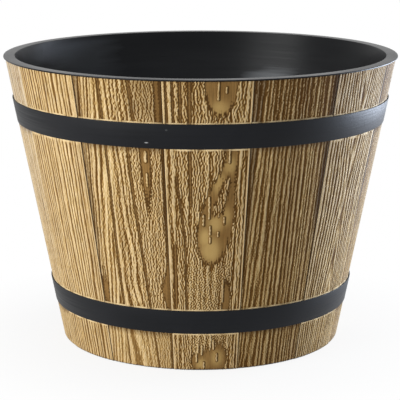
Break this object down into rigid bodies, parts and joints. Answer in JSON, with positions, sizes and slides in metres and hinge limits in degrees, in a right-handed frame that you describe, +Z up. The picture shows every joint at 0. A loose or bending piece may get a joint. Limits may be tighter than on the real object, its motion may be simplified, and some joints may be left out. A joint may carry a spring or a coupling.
{
  "type": "round planter",
  "caption": "Round tapered tub planter with wooden staves, flat black hoops and a lift-out black inner pot hung by its rim.",
  "frame": {"origin": "on the floor, under the middle of the round foot", "axes": "+Z up along the tub's axis, -Y towards the front that the picture shows, +X to its right"},
  "size_m": [0.4, 0.4, 0.2925],
  "materials": {
    "stave_wood": "brushed and stained",
    "base_wood": "sawn, unfinished",
    "dowel_wood": "plain",
    "hoop_black": "satin black",
    "rivet_black": "satin black",
    "liner_black": "matte moulded",
    "plug_rubber": "matte"
  },
  "bodies": {
    "tub": {"stave_01": "stave_wood", "stave_02": "stave_wood", "stave_03": "stave_wood", "stave_04": "stave_wood", "stave_05": "stave_wood", "stave_06": "stave_wood", "stave_07": "stave_wood", "stave_08": "stave_wood", "stave_09": "stave_wood", "stave_10": "stave_wood", "stave_11": "stave_wood", "stave_12": "stave_wood", "stave_13": "stave_wood", "stave_14": "stave_wood", "upper_hoop": "hoop_black", "lower_hoop": "hoop_black", "upper_hoop_rivets": "rivet_black", "lower_hoop_rivets": "rivet_black", "base_board_left": "base_wood", "base_board_middle": "base_wood", "base_board_right": "base_wood", "base_dowels": "dowel_wood"},
    "inner_pot": {"liner_pot": "liner_black"},
    "plug": {"drain_plug": "plug_rubber"}
  },
  "joints": [
    {"name": "pot_lift", "type": "slide", "parent": "tub", "child": "inner_pot", "axis": [0, 0, 1], "range_m": [0, 0.27]},
    {"name": "plug_pull", "type": "slide", "parent": "inner_pot", "child": "plug", "axis": [0, 0, 1], "range_m": [0, 0.27]}
  ]
}
